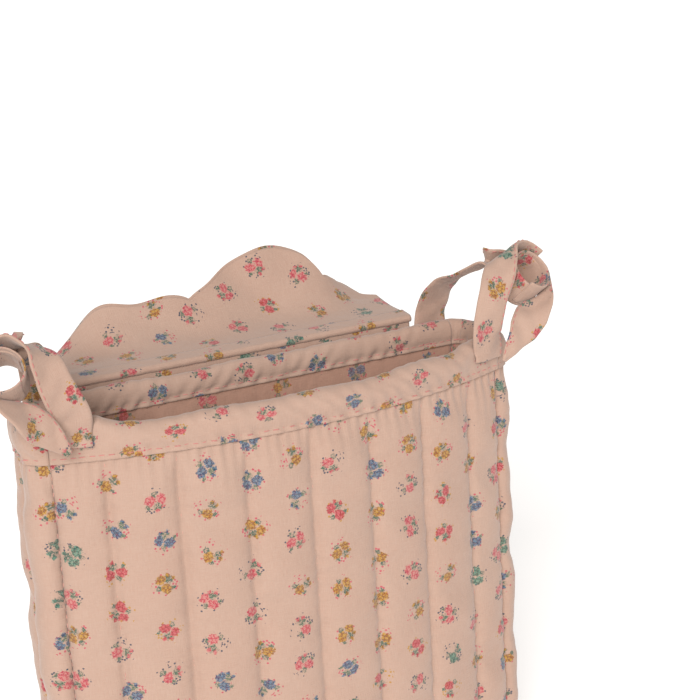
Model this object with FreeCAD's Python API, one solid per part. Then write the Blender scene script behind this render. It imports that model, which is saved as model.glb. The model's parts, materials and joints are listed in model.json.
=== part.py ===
import FreeCAD, Part
import math
import os

from FreeCAD import Vector

# A small quilted cloth bag that hangs from two handles by cloth ties.
# X runs across the width, -Y is the front, Z is up. The origin is the centre of the base's underside.
# All sizes are in millimetres.

# Overall sizes
height = 185.0            # base underside to the walls' top edge
front_width = 200.0       # across the two front corners
side_taper = 4.0          # how far each back corner stands in from its front corner
side_depth = 28.0         # front corner to back wall, front to back
belly = 22.0              # how far the front wall bows out past its corners
corner_radius = 6.0       # outside of the cloth

# Wall layers, from the outside in
cloth = 0.8
batting = 2.8
lining = 0.6
layer_gap = 0.1
seam_gap = 0.1
seam_inset = 7.5          # from a corner to the seam that joins front or back to the side
seam_step = 10.0          # how far the front and back pieces can reach past the corners

# Folded bands round the mouth
band_height = 14.0
band_cloth = 0.8
stitch_size = 0.35
stitch_gap = 0.05
stitch_inset = 1.6        # from the band's lower edge to its row of stitches

# Scalloped flap on the back band, folded open behind the bag
flap_side_gap = 2.0       # between the flap and the ties beside it
flap_edge_room = 2.5      # how much less deep it is than the mouth
flap_bend_radius = 24.0
flap_bend = 48.0          # degrees, from the flat part up to the scalloped edge
flap_slope = 8.0          # degrees above level when open
flap_notch = 5.0          # bend to the notches between the scallops
scallop_rises = (7.0, 15.0, 7.0)
backing_extra = 1.5       # how much taller the back layer is
flap_cloth = 0.8
flap_gap = 0.1
hem_length = 6.0
hem_cloth = 0.6
flap_droop = 75.0         # degrees below level when it hangs behind the bag

# Ties and the handle that they hold
tie_width = 14.0
tie_cloth = 1.2
tie_from_corner = 18.0    # from the front corner to the middle of a tie
tie_base_drop = 6.0       # below the mouth's edge
tie_straight = 16.0       # straight stretch above the stitched end
handle_radius = 7.0
wrap_clearance = 0.1
wrap_cloth = 1.6
wrap_length = 15.0
clear_below = 12.0        # of the handle that no strap crosses, below the wrap's middle
clear_above = 60.0
wrap_out = 23.0           # from the tie's stitched end to the handle, outwards
wrap_rise = 26.0          # and upwards
wrap_forward = 3.5        # in front of the front corners
handle_lean = (0.30, -0.70, 0.65)
tail_gap = 1.2            # between the front tie and the tail hanging before it
tail_start = (5.0, -3.0, 1.0)      # from the handle's middle: outwards, back, up

# Points that a strap passes, each as (outwards, back, up, share of its turn to the handle's direction).
# A route is measured from the tie's stitched end, and what goes over, from the handle's middle. The rear
# tie's way forward is a share of its distance to the handle. The tail is measured from the handle's
# middle, but back from its own plane, and its last number is a tilt.
front_route = ((1.5, -0.5, 22.0, 0.15), (5.0, 0.0, 28.0, 0.4))
front_over = ((-10.5, -3.5, 7.0, 0.8), (-5.0, -2.0, 4.0, 1.0))
rear_route = ((1.0, 0.09, 25.0, 0.0), (5.0, 0.36, 34.0, 0.0))
rear_over = ((-6.0, 8.0, 11.0, 0.1), (0.0, 1.0, 5.0, 0.3))
tail_route = ((5.0, -1.5, -10.0, 0.6), (-5.0, -1.0, -20.0, 0.4), (-14.0, 0.0, -30.0, 0.35))

# Clearances
body_gap = 0.3            # between pieces that move past each other
big = 1000.0

# Worked out from the sizes above
wall = cloth + batting + lining + 2 * layer_gap
band_out = layer_gap + band_cloth
band_in = wall + layer_gap + band_cloth
stitch_out = band_out + stitch_gap + stitch_size
depth = side_depth + belly
front_y = -depth / 2
corner_y = front_y + belly
back_y = depth / 2
half_front = front_width / 2
half_back = half_front - side_taper
arc_radius = (half_front ** 2 + belly ** 2) / (2 * belly)
floor_top = wall
mouth_top = height + layer_gap + band_cloth
band_bottom = height - band_height
hem_half = flap_gap / 2 + flap_cloth + flap_gap + hem_cloth
hinge_rise = hem_half + body_gap
hinge_z = mouth_top + hinge_rise
hinge_y = back_y + band_out + hinge_rise * math.tan(math.radians(flap_droop / 2))
tie_x = half_front - tie_from_corner
tie_z = height - tie_base_drop
flap_width = 2 * (tie_x - tie_width / 2 - flap_side_gap)


def front_arc_y(x):
    """Y of the front wall's outer face at x."""
    return front_y + arc_radius - math.sqrt(arc_radius ** 2 - x ** 2)


def scallop_at(x):
    """How far the scalloped edge rises past the notches at x."""
    pitch = flap_width / len(scallop_rises)
    index = min(int((x + flap_width / 2) / pitch), len(scallop_rises) - 1)
    from_middle = (x + flap_width / 2 - (index + 0.5) * pitch) / (pitch / 2)
    return scallop_rises[index] * math.sqrt(max(1 - from_middle ** 2, 0))


def flap_flat():
    """Length of the flap's flat part, so that the flap is nearly as deep as the mouth all along its edge."""
    turn = math.radians(flap_bend + flap_slope)
    thickness = (flap_gap / 2 + flap_cloth) * math.sin(turn)
    bend_out = flap_bend_radius * (math.sin(turn) - math.sin(math.radians(flap_slope)))
    steps = 72
    rooms = []
    for step in range(steps + 1):
        x = flap_width * (step / steps - 0.5)
        past = flap_notch + backing_extra + scallop_at(x)
        band_inside = front_arc_y(x) + band_in
        rooms.append(hinge_y - band_inside - flap_edge_room - bend_out - past * math.cos(turn) - thickness)
    return min(rooms) / math.cos(math.radians(flap_slope))


flap_reach = flap_flat()
front_tie_y = front_arc_y(tie_x - tie_width / 2) - stitch_out - body_gap - tie_cloth / 2
rear_tie_y = back_y + stitch_out + body_gap + tie_cloth / 2


def block(inset, bottom, top):
    """The bag's rounded plan, pulled in by inset, between two heights."""
    left_front = Vector(-half_front, corner_y, 0)
    right_front = Vector(half_front, corner_y, 0)
    right_back = Vector(half_back, back_y, 0)
    left_back = Vector(-half_back, back_y, 0)
    edges = [
        Part.Arc(left_front, Vector(0, front_y, 0), right_front).toShape(),
        Part.LineSegment(right_front, right_back).toShape(),
        Part.LineSegment(right_back, left_back).toShape(),
        Part.LineSegment(left_back, left_front).toShape(),
    ]
    inner = Part.Wire(edges).makeOffset2D(-corner_radius, 2)
    rounded = inner.makeOffset2D(corner_radius - inset, 0)
    rounded.translate(Vector(0, 0, bottom))
    return Part.Face(rounded).extrude(Vector(0, 0, top - bottom))


def ring(outer, inner, bottom, top):
    """A wall layer that follows the plan."""
    return block(outer, bottom, top).cut(block(inner, bottom - 1, top + 1))


def slab(x0, x1, y0, y1, z0, z1):
    return Part.makeBox(x1 - x0, y1 - y0, z1 - z0, Vector(x0, y0, z0))


def front_region():
    x = half_front - seam_inset
    return slab(-x, x, -big, corner_y + seam_step, -big, big)


def back_region():
    x = half_back - seam_inset
    return slab(-x, x, back_y - seam_step, big, -big, big)


def side_region(side):
    """Everything beyond the two seams on one side, which is -1 or 1."""
    front_x = half_front - seam_inset + seam_gap
    back_x = half_back - seam_inset + seam_gap
    step_y = corner_y + seam_step
    corners = [(front_x, -big), (big, -big), (big, big), (back_x, big), (back_x, step_y), (front_x, step_y)]
    points = [Vector(side * x, y, -big) for x, y in corners]
    outline = Part.makePolygon(points + points[:1])
    return Part.Face(outline).extrude(Vector(0, 0, 2 * big))


regions = {
    "front": front_region(),
    "side_left": side_region(-1),
    "side_right": side_region(1),
    "back": back_region(),
}


def node_name(region, word):
    """front_panel, side_panel_left and so on."""
    if region.startswith("side_"):
        return "side_" + word + region[4:]
    return region + "_" + word


def layer_nodes(word, layer):
    """One layer cut into the front, the sides and the back."""
    return {node_name(region, word): layer.common(shape) for region, shape in regions.items()}


def walls():
    bottom = cloth + layer_gap
    inner_cloth = cloth + layer_gap
    lining_out = inner_cloth + batting + layer_gap
    nodes = {}
    nodes.update(layer_nodes("panel", ring(0, cloth, bottom, height)))
    nodes.update(layer_nodes("batting", ring(inner_cloth, inner_cloth + batting, bottom, height)))
    nodes.update(layer_nodes("lining", ring(lining_out, wall, bottom, height)))
    return nodes


def base():
    inner = wall + layer_gap
    batting_bottom = cloth + layer_gap
    lining_bottom = batting_bottom + batting + layer_gap
    return {
        "base_panel": block(0, 0, cloth),
        "base_batting": block(inner, batting_bottom, batting_bottom + batting),
        "base_lining": block(inner, lining_bottom, floor_top),
    }


def mouth_bands():
    """A folded strip over the walls' top edge, open downwards."""
    fold = ring(-band_out, band_in, band_bottom, mouth_top)
    hollow = ring(-layer_gap, wall + layer_gap, band_bottom - 1, height + layer_gap)
    return layer_nodes("band", fold.cut(hollow))


def band_stitching():
    """The row of stitches that holds the bands' lower edge."""
    low = band_bottom + stitch_inset
    row = ring(-stitch_out, -band_out - stitch_gap, low, low + stitch_size)
    return layer_nodes("stitching", row)


def flap_profile(offset):
    """Points and bend of one face of the flap: offset is towards the inside of the bend."""
    turn = math.radians(flap_bend)
    radius = flap_bend_radius - offset
    centre_y = flap_reach
    centre_z = flap_bend_radius

    def on_bend(angle):
        return Vector(0, centre_y + radius * math.sin(angle), centre_z - radius * math.cos(angle))

    return Vector(0, 0, offset), on_bend(0), on_bend(turn / 2), on_bend(turn)


def flap_layer(inner, outer, extra):
    """One cloth layer of the flap, lying level, between two offsets from its middle surface."""
    turn = math.radians(flap_bend)
    along = Vector(0, math.cos(turn), math.sin(turn))
    across = Vector(1, 0, 0)
    low = flap_profile(outer)
    high = flap_profile(inner)
    start = Vector(0, flap_gap, 0)
    outline = [
        Part.LineSegment(low[0] + start, low[1]).toShape(),
        Part.Arc(low[1], low[2], low[3]).toShape(),
        Part.LineSegment(low[3], high[3]).toShape(),
        Part.Arc(high[3], high[2], high[1]).toShape(),
        Part.LineSegment(high[1], high[0] + start).toShape(),
        Part.LineSegment(high[0] + start, low[0] + start).toShape(),
    ]
    sheet = Part.Face(Part.Wire(outline))
    sheet.translate(across * (-flap_width / 2))
    sheet = sheet.extrude(across * flap_width)

    def place(x, length):
        return low[3] + across * x + along * length

    pitch = flap_width / len(scallop_rises)
    notch = flap_notch + extra
    left = -flap_width / 2
    right = flap_width / 2
    edges = []
    for index, rise in enumerate(scallop_rises):
        x = left + index * pitch
        crest = place(x + pitch / 2, notch + rise)
        edges.append(Part.Arc(place(x, notch), crest, place(x + pitch, notch)).toShape())
    corners = [place(right, notch), place(right, 0), place(left, 0), place(left, notch)]
    for begin, end in zip(corners, corners[1:]):
        edges.append(Part.LineSegment(begin, end).toShape())
    edge_piece = Part.Face(Part.Wire(edges)).extrude(high[3] - low[3])
    return sheet.fuse(edge_piece).removeSplitter()


def flap():
    """Two cloth layers with a folded foot that turns on the back band."""
    near = flap_gap / 2
    far = near + flap_cloth
    half = flap_width / 2 + flap_gap
    foot = Part.makeCylinder(hem_half, 2 * half, Vector(-half, 0, 0), Vector(1, 0, 0))
    foot = foot.common(slab(-big, big, -big, 0, -big, big))
    leaves = slab(-half, half, 0, hem_length, -hem_half, hem_half)
    inside = far + flap_gap
    slot = slab(-big, big, 0, big, -inside, inside)
    nodes = {
        "flap_face": flap_layer(far, near, 0.0),
        "flap_backing": flap_layer(-near, -far, backing_extra),
        "flap_hem": foot.fuse(leaves).cut(slot).removeSplitter(),
    }
    for shape in nodes.values():
        shape.rotate(Vector(0, 0, 0), Vector(1, 0, 0), flap_slope)
        shape.translate(Vector(0, hinge_y, hinge_z))
    return nodes


def strap(stations):
    """A flat strap through stations of (middle, direction of its width)."""
    middles = [middle for middle, width in stations]
    sections = []
    for index, (middle, width) in enumerate(stations):
        before = middles[max(index - 1, 0)]
        after = middles[min(index + 1, len(middles) - 1)]
        along = (after - before).normalize()
        side = (width - along * width.dot(along)).normalize() * (tie_width / 2)
        out = side.cross(along).normalize() * (tie_cloth / 2)
        corners = [middle + side + out, middle - side + out, middle - side - out, middle + side - out]
        sections.append(Part.makePolygon(corners + corners[:1]))
    return Part.makeLoft(sections, True, True)


def tie_loop(side):
    """The two ties, the wrap round the handle and its tail, on one side (-1 or 1)."""
    word = "left" if side < 0 else "right"
    lean = Vector(side * handle_lean[0], handle_lean[1], handle_lean[2]).normalize()
    wrap_y = corner_y - wrap_forward
    centre = Vector(side * (tie_x + wrap_out), wrap_y, tie_z + wrap_rise)
    wrap_outer = handle_radius + wrap_clearance + wrap_cloth

    def rod(radius, below, above):
        return Part.makeCylinder(radius, below + above, centre - lean * below, lean)

    clear = rod(wrap_outer + layer_gap, clear_below, clear_above)

    def stitched_end(y):
        low = Vector(side * tie_x, y - tie_cloth / 2, tie_z)
        return Part.makeCylinder(tie_width / 2, tie_cloth, low, Vector(0, 1, 0))

    def tie(y, route, over):
        """From its stitched end, past the points of route, over the handle."""
        across = Vector(side, 0, 0)
        foot = Vector(side * tie_x, y, tie_z)
        stations = [(foot, across), (foot + Vector(0, 0, tie_straight / 2), across)]
        stations.append((foot + Vector(0, 0, tie_straight), across))
        for start, points in ((foot, route), (centre, over)):
            for out, back, up, share in points:
                point = start + Vector(side * out, back, up)
                stations.append((point, across * (1 - share) + lean * share))
        return stitched_end(y).fuse(strap(stations)).removeSplitter().cut(clear)

    def tail():
        """Hangs from the wrap, in front of the front tie."""
        out, back, up = tail_start
        stations = [(centre + Vector(side * out, back, up), lean + Vector(side, 0, 0))]
        for out, back, up, tilt in tail_route:
            point = Vector(centre.x + side * out, tail_plane + back, centre.z + up)
            stations.append((point, Vector(side, 0, tilt)))
        return strap(stations).cut(clear)

    tail_plane = front_tie_y - tie_cloth - tail_gap
    forward = [(out, (wrap_y - rear_tie_y) * way, up, share) for out, way, up, share in rear_route]
    wrap = rod(wrap_outer, wrap_length / 2, wrap_length / 2)
    wrap = wrap.cut(rod(handle_radius + wrap_clearance, wrap_length, wrap_length))
    return {
        "front_tie_" + word: tie(front_tie_y, front_route, front_over),
        "rear_tie_" + word: tie(rear_tie_y, forward, rear_over),
        "tie_tail_" + word: tail(),
        "handle_wrap_" + word: wrap,
    }


def main():
    nodes = {}
    for group in (walls(), base(), mouth_bands(), band_stitching(), flap(), tie_loop(-1), tie_loop(1)):
        nodes.update(group)
    os.makedirs("parts", exist_ok=True)
    for name, shape in nodes.items():
        shape.exportStep(os.path.join("parts", name + ".step"))
        box = shape.BoundBox
        print("%-22s solids %d  valid %s  volume %9.1f  x %.1f %.1f  y %.1f %.1f  z %.1f %.1f" % (
            name, len(shape.Solids), shape.isValid(), shape.Volume,
            box.XMin, box.XMax, box.YMin, box.YMax, box.ZMin, box.ZMax))
    print("hinge y %.3f z %.3f, ties x %.3f z %.3f, front y %.3f, rear y %.3f" % (
        hinge_y, hinge_z, tie_x, tie_z, front_tie_y, rear_tie_y))


main()
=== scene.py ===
import json
import math
import bmesh
import bpy
import numpy as np
from mathutils import Matrix, Vector


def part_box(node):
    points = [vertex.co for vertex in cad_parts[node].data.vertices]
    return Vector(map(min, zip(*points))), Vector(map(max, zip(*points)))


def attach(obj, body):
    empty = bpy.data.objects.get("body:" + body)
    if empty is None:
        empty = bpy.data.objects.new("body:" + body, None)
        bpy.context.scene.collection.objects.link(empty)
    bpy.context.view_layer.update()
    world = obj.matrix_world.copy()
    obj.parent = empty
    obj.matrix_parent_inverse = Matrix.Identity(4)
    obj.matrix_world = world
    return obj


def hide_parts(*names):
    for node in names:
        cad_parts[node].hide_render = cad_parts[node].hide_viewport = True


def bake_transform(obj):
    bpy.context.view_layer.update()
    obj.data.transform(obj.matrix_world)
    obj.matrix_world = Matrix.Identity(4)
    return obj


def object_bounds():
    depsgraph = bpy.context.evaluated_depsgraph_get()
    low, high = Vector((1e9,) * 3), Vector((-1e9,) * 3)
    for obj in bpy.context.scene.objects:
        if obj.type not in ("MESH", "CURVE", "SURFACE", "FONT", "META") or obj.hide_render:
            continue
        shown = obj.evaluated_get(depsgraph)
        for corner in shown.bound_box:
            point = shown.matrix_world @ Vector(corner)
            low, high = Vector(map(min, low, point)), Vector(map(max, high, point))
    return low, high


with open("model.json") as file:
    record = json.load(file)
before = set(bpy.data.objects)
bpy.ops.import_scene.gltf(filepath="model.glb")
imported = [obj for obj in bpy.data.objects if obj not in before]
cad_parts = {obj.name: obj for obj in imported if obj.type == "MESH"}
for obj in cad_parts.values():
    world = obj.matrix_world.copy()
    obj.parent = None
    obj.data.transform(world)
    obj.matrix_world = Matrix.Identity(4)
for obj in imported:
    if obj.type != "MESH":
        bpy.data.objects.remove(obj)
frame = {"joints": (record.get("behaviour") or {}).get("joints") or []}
cadBounds = [list(corner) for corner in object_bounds()]

# Shapes are worked out in millimetres and become metres in makePiece.
metre = 0.001


def boxOf(node):
    low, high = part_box(node)
    return np.array(low) / metre, np.array(high) / metre


def jointAt(name):
    joint = [joint for joint in frame["joints"] if joint["name"] == name][0]
    return np.array(joint["pos_m"]) / metre


def ease(values):
    # 0 below 0, 1 above 1, smooth between
    t = np.clip(values, 0, 1)
    return t * t * (3 - 2 * t)


def ripple(u, v, seed, waveU, waveV, count=7):
    # soft unevenness: a few plane waves of about the given lengths, between about -1 and 1
    rng = np.random.default_rng(seed)
    total = np.zeros(np.broadcast(u, v).shape)
    for _ in range(count):
        ku, kv = rng.uniform(0.55, 1.5, 2) * 2 * math.pi / np.array([waveU, waveV])
        total = total + np.sin(ku * u + rng.choice([-1, 1]) * kv * v + rng.uniform(0, 2 * math.pi))
    return total / math.sqrt(count) * 0.8


def throughPoints(points, count):
    # natural cubic spline through the points, spaced by chord length
    points = np.array(points, float)
    knots = lengthAlong(points)
    chord = np.diff(knots)
    n = len(points)
    system = np.eye(n)
    right = np.zeros_like(points)
    for i in range(1, n - 1):
        a, b = chord[i - 1], chord[i]
        system[i, i - 1:i + 2] = a, 2 * (a + b), b
        right[i] = 6 * ((points[i + 1] - points[i]) / b - (points[i] - points[i - 1]) / a)
    bend = np.linalg.solve(system, right)
    t = np.linspace(0, knots[-1], count)
    k = np.clip(np.searchsorted(knots, t, side="right") - 1, 0, n - 2)
    h = chord[k][:, None]
    left = (knots[k + 1] - t)[:, None]
    past = (t - knots[k])[:, None]
    return (bend[k] * left ** 3 + bend[k + 1] * past ** 3) / (6 * h) + (
        points[k] / h - bend[k] * h / 6) * left + (points[k + 1] / h - bend[k + 1] * h / 6) * past


def between(t, knots, values):
    # each column of the values at t
    return np.stack([np.interp(t, knots, column) for column in values.T], -1)


def carriedAlong(points, values, count):
    # values given at the points, eased between them along the same spacing
    points, values = np.array(points, float), np.array(values, float)
    knots = lengthAlong(points)
    t = np.linspace(0, knots[-1], count)
    plain = between(t, knots, values)
    reach = max(count // 16, 1)
    wide = np.pad(plain, ((reach, reach), (0, 0)), mode="edge")
    return sum(wide[k:k + count] for k in range(2 * reach + 1)) / (2 * reach + 1)


def unit(vectors):
    return vectors / np.maximum(np.linalg.norm(vectors, axis=-1, keepdims=True), 1e-9)


def surfaceNormals(grid):
    return unit(np.cross(np.gradient(grid, axis=0), np.gradient(grid, axis=1)))


def lengthAlong(line):
    # how far each point of a line lies from its first
    return np.concatenate([[0], np.cumsum(np.linalg.norm(np.diff(line, axis=0), axis=1))])


def areaOf(grid):
    cells = np.cross(np.diff(grid, axis=0)[:, :-1], np.diff(grid, axis=1)[:-1])
    return float(np.sum(np.linalg.norm(cells, axis=-1)))


def stacked(*parts):
    # parts of a vector side by side, spread to one shape
    return np.stack(np.broadcast_arrays(*parts), -1)


def quads(rows, cols, start=0):
    first = np.arange(rows * cols).reshape(rows, cols) + start
    return stacked(first[:-1, :-1], first[:-1, 1:], first[1:, 1:], first[1:, :-1]).reshape(-1, 4)


def makePiece(name, points, faces, uvs, material):
    mesh = bpy.data.meshes.new(name)
    mesh.from_pydata((points * metre).tolist(), [], faces.tolist())
    work = bmesh.new()
    work.from_mesh(mesh)
    bmesh.ops.recalc_face_normals(work, faces=work.faces)
    work.to_mesh(mesh)
    work.free()
    layer = mesh.uv_layers.new(name="clothMap")
    corner = np.empty(len(mesh.loops), np.int32)
    mesh.loops.foreach_get("vertex_index", corner)
    layer.data.foreach_set("uv", (uvs[corner] * metre).astype(np.float32).ravel())
    mesh.polygons.foreach_set("use_smooth", np.ones(len(mesh.polygons), bool))
    mesh.materials.append(material)
    mesh.update()
    piece = bpy.data.objects.new(name, mesh)
    bpy.context.scene.collection.objects.link(piece)
    return piece


def standsFor(piece, body, node):
    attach(piece, body)
    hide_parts(node)


def shell(name, outer, inner, uvs, material):
    # two grids of the same size, joined round their four edges into one closed skin
    rows, cols = outer.shape[:2]
    count = rows * cols
    index = np.arange(count).reshape(rows, cols)
    rim = np.concatenate([index[0, :], index[1:, -1], index[-1, -2::-1], index[-2:0:-1, 0]])
    after = np.roll(rim, -1)
    sides = stacked(rim, after, after + count, rim + count)
    faces = np.concatenate([quads(rows, cols), quads(rows, cols, count)[:, ::-1], sides[:, ::-1]])
    points = np.concatenate([outer.reshape(-1, 3), inner.reshape(-1, 3)])
    flat = uvs.reshape(-1, 2)
    return makePiece(name, points, faces, np.concatenate([flat, flat]), material)


def sheetOf(name, middle, thickness, uvs, material, taper=True):
    # a grid given thickness along its normals, thinner towards its side edges
    normal = surfaceNormals(middle)
    across = np.linspace(-1, 1, middle.shape[1])
    half = thickness / 2 * (np.sqrt(1 - 0.92 * np.abs(across) ** 10) if taper else np.ones_like(across))
    half = half[None, :, None]
    return shell(name, middle + normal * half, middle - normal * half, uvs, material)


def stitchRow(name, centres, along, out, length, radius, material):
    # small rounded bars, one at each centre
    rings, sides = 5, 6
    t = np.linspace(-1, 1, rings)
    angle = np.arange(sides) * 2 * math.pi / sides
    swell = np.sqrt(1 - 0.9 * t ** 4) * radius
    local = stacked(np.repeat(t * length / 2, sides), (swell[:, None] * np.cos(angle)).ravel(),
                    (swell[:, None] * np.sin(angle) - (0.5 * radius * t ** 2)[:, None]).ravel())
    along = unit(along)
    side = unit(np.cross(out, along))
    out = np.cross(along, side)
    points = centres[:, None] + local[None, :, 0:1] * along[:, None] + local[None, :, 1:2] * side[:, None] \
        + local[None, :, 2:3] * out[:, None]
    index = np.arange(rings * sides).reshape(rings, sides)
    turn = np.roll(index, -1, axis=1)
    bar = stacked(index[:-1], turn[:-1], turn[1:], index[1:]).reshape(-1, 4)
    caps = np.array([[0, 1, 2, 3], [0, 3, 4, 5]])
    bar = np.concatenate([bar, caps[:, ::-1], caps + (rings - 1) * sides])
    faces = (bar[None] + (np.arange(len(centres)) * rings * sides)[:, None, None]).reshape(-1, 4)
    uvs = np.tile(local[:, :2], (len(centres), 1))
    return makePiece(name, points.reshape(-1, 3), faces, uvs, material)


class Wire:
    # a node's output that can take part in sums
    def __init__(self, desk, socket):
        self.desk = desk
        self.socket = socket

    def sum(self, operation, first, second):
        return self.desk.add("ShaderNodeMath", {"operation": operation}, {0: first, 1: second})

    def part(self, operation):
        return self.desk.add("ShaderNodeMath", {"operation": operation}, {0: self})

    def other(self, output):
        # another output of the same node
        return Wire(self.desk, self.socket.node.outputs[output])

    def __add__(self, other):
        return self.sum("ADD", self, other)

    __radd__ = __add__

    def __sub__(self, other):
        return self.sum("SUBTRACT", self, other)

    def __rsub__(self, other):
        return self.sum("SUBTRACT", other, self)

    def __mul__(self, other):
        return self.sum("MULTIPLY", self, other)

    __rmul__ = __mul__

    def __truediv__(self, other):
        return self.sum("DIVIDE", self, other)

    def __lt__(self, other):
        return self.sum("LESS_THAN", self, other)

    def __gt__(self, other):
        return self.sum("GREATER_THAN", self, other)


class Desk:
    # one material's nodes
    def __init__(self, name):
        self.material = bpy.data.materials.new(name)
        self.material.use_nodes = True
        self.tree = self.material.node_tree
        self.tree.nodes.clear()

    def add(self, kind, settings=None, sockets=None, output=0):
        node = self.tree.nodes.new(kind)
        for key, value in (settings or {}).items():
            if key == "stops":
                ramp = node.color_ramp
                while len(ramp.elements) < len(value):
                    ramp.elements.new(0.5)
                for element, (place, colour) in zip(ramp.elements, value):
                    element.position = place
                    element.color = colour
            elif key == "interpolation":
                node.color_ramp.interpolation = value
            else:
                setattr(node, key, value)
        for key, value in (sockets or {}).items():
            if isinstance(value, Wire):
                self.tree.links.new(value.socket, node.inputs[key])
            else:
                node.inputs[key].default_value = value
        return Wire(self, node.outputs[output]) if node.outputs else None

    def vector(self, operation, *values, output=0):
        return self.add("ShaderNodeVectorMath", {"operation": operation}, dict(enumerate(values)), output)

    def noise(self, place, scale, detail, output=0):
        return self.add("ShaderNodeTexNoise", {}, {"Vector": place, "Scale": scale, "Detail": detail}, output)

    def mix(self, share, first, second):
        return self.add("ShaderNodeMix", {"data_type": "RGBA"}, {0: share, 6: first, 7: second}, 2)

    def clamp(self, value, slope, shift):
        # value * slope + shift, held between 0 and 1
        return self.add("ShaderNodeMath", {"operation": "MULTIPLY_ADD", "use_clamp": True},
                        {0: value, 1: slope, 2: shift})


def tint(red, green, blue):
    # from 0 to 255 as seen on screen
    def line(value):
        value /= 255
        return value / 12.92 if value <= 0.04045 else ((value + 0.055) / 1.055) ** 2.4
    return (line(red), line(green), line(blue), 1.0)


# Cotton, its print, thread and wadding.
printLook = {
    "repeat": 16.6,           # mm between sprigs, both ways, every second column half a step down
    "wander": 3.4,            # how far a sprig may stand from its place
    "ground": tint(174, 148, 133),
    "groundShade": tint(167, 136, 120),
    "roughness": 0.9,
    "sheen": 0.25,
}
# for each kind of sprig: share of sprigs, petals, petal lines, leaves, dots
sprigs = [
    (0.24, tint(180, 114, 110), tint(166, 48, 66), tint(50, 86, 70), tint(39, 57, 75)),
    (0.13, tint(177, 74, 83), tint(144, 28, 46), tint(46, 88, 74), tint(162, 120, 42)),
    (0.33, tint(167, 125, 42), tint(120, 74, 22), tint(44, 83, 70), tint(173, 68, 85)),
    (0.20, tint(77, 107, 129), tint(29, 55, 83), tint(66, 94, 77), tint(169, 64, 81)),
    (0.10, tint(85, 125, 109), tint(35, 77, 66), tint(44, 81, 72), tint(39, 59, 77)),
]


def sprigRamp(desk, chance, column):
    stops = []
    place = 0.0
    for sprig in sprigs:
        stops.append((place, sprig[column]))
        place += sprig[0]
    return desk.add("ShaderNodeValToRGB", {"interpolation": "CONSTANT", "stops": stops}, {0: chance})


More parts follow.
